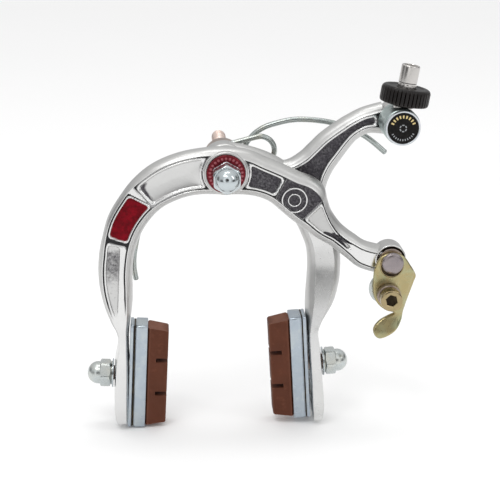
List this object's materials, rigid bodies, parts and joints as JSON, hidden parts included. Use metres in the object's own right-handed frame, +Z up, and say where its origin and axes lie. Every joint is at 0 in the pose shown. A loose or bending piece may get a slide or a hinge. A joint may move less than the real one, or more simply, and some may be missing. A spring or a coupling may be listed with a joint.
{
  "type": "rim brake caliper",
  "caption": "Side-pull rim brake caliper with long-reach arms on one centre bolt, a swivelling cable adjuster, a quick release cable clamp and two threaded-stud brake shoes.",
  "frame": {"origin": "centre of the centre bolt's tail end, on the pivot axis; the frame seat is the plane y = -0.034", "axes": "+Y runs back along the centre bolt into the bicycle frame, -Y is the front of the brake, +Z is up, +X is the cable side"},
  "size_m": [0.133, 0.079, 0.1481],
  "materials": {
    "polished_aluminium": "polished forged aluminium with dark frosted sunk panels and one red enamelled panel",
    "zinc_plate": "bright zinc plated steel, slightly blue",
    "bolt_steel": "plated steel thread with a warm pinkish tint",
    "spring_steel": "drawn spring wire, grey",
    "spring_block": "brownish plated steel block",
    "red_anodised": "dark red anodised, satin",
    "black_paint": "black gloss face in a bright rim",
    "black_plastic": "moulded black plastic, fluted",
    "brushed_aluminium": "turned aluminium tube",
    "yellow_chromate": "yellow chromate zinc plate with a faint iridescence",
    "brown_rubber": "moulded brown brake rubber, matt"
  },
  "bodies": {
    "root": {"centre_bolt": "bolt_steel", "spring_block": "spring_block", "return_spring": "spring_steel", "rear_thrust_washer": "zinc_plate", "mid_thrust_washer": "zinc_plate", "front_ring_washer": "red_anodised", "pivot_lock_nut": "zinc_plate", "pivot_acorn_nut": "zinc_plate"},
    "front_arm_body": {"front_arm": "polished_aluminium", "lever_rivet": "zinc_plate", "lever_spacer": "zinc_plate"},
    "rear_arm_body": {"rear_arm": "polished_aluminium"},
    "swivel": {"adjuster_swivel": "zinc_plate", "swivel_retaining_clip": "spring_steel", "swivel_cap": "black_paint"},
    "barrel": {"adjuster_barrel": "brushed_aluminium"},
    "knob": {"adjuster_knob": "black_plastic"},
    "quick_release": {"quick_release_lever": "yellow_chromate", "cable_clamp_bolt": "yellow_chromate", "cable_clamp_collar": "yellow_chromate", "cable_clamp_washer": "zinc_plate", "cable_clamp_nut": "zinc_plate"},
    "left_nut_group": {"left_flat_washer": "zinc_plate", "left_lock_washer": "spring_steel", "left_acorn_nut": "zinc_plate"},
    "left_shoe": {"left_pad_holder": "zinc_plate", "left_pad_rubber": "brown_rubber", "left_pad_stud": "bolt_steel"},
    "right_nut_group": {"right_flat_washer": "zinc_plate", "right_lock_washer": "spring_steel", "right_acorn_nut": "zinc_plate"},
    "right_shoe": {"right_pad_holder": "zinc_plate", "right_pad_rubber": "brown_rubber", "right_pad_stud": "bolt_steel"}
  },
  "joints": [
    {"name": "front_arm_pivot", "type": "hinge", "parent": "root", "child": "front_arm_body", "pos_m": [0, -0.059, 0], "axis": [0, -1, 0], "range_deg": [-3, 8], "stiffness_Nm_per_rad": 0.9, "deforming": ["return_spring"]},
    {"name": "rear_arm_pivot", "type": "hinge", "parent": "root", "child": "rear_arm_body", "pos_m": [0, -0.049, 0], "axis": [0, 1, 0], "range_deg": [-3, 8]},
    {"name": "adjuster_swivel_turn", "type": "hinge", "parent": "rear_arm_body", "child": "swivel", "pos_m": [0.0658, -0.06, 0.0174], "axis": [0, 1, 0], "range_deg": [-20, 20]},
    {"name": "knob_turn", "type": "hinge", "parent": "swivel", "child": "knob", "pos_m": [0.0658, -0.0606, 0.0174], "axis": [0.165, 0, 0.9863], "range_deg": [0, 1800.01]},
    {"name": "barrel_slide", "type": "slide", "parent": "swivel", "child": "barrel", "axis": [0.165, 0, 0.9863], "range_m": [0, 0.005]},
    {"name": "quick_release_turn", "type": "hinge", "parent": "front_arm_body", "child": "quick_release", "pos_m": [0.0639, -0.066, -0.0356], "axis": [0, -1, 0], "range_deg": [0, 90]},
    {"name": "left_reach_slide", "type": "slide", "parent": "front_arm_body", "child": "left_nut_group", "axis": [0.0419, 0, 0.9991], "range_m": [-0.0105, 0.003]},
    {"name": "left_shoe_turn", "type": "hinge", "parent": "left_nut_group", "child": "left_shoe", "pos_m": [-0.0392, -0.054, -0.0846], "axis": [0.9984, 0, -0.0558], "range_deg": [-15, 95]},
    {"name": "right_reach_slide", "type": "slide", "parent": "rear_arm_body", "child": "right_nut_group", "axis": [-0.0663, 0, 0.9978], "range_m": [-0.0105, 0.003]},
    {"name": "right_shoe_turn", "type": "hinge", "parent": "right_nut_group", "child": "right_shoe", "pos_m": [0.0333, -0.054, -0.0819], "axis": [0.9984, 0, 0.0558], "range_deg": [-15, 95]}
  ],
  "couplings": [
    {"joint": "rear_arm_pivot", "follows": "front_arm_pivot", "ratio": 1},
    {"joint": "knob_turn", "follows": "barrel_slide", "rad_per_m": 6283.2}
  ]
}
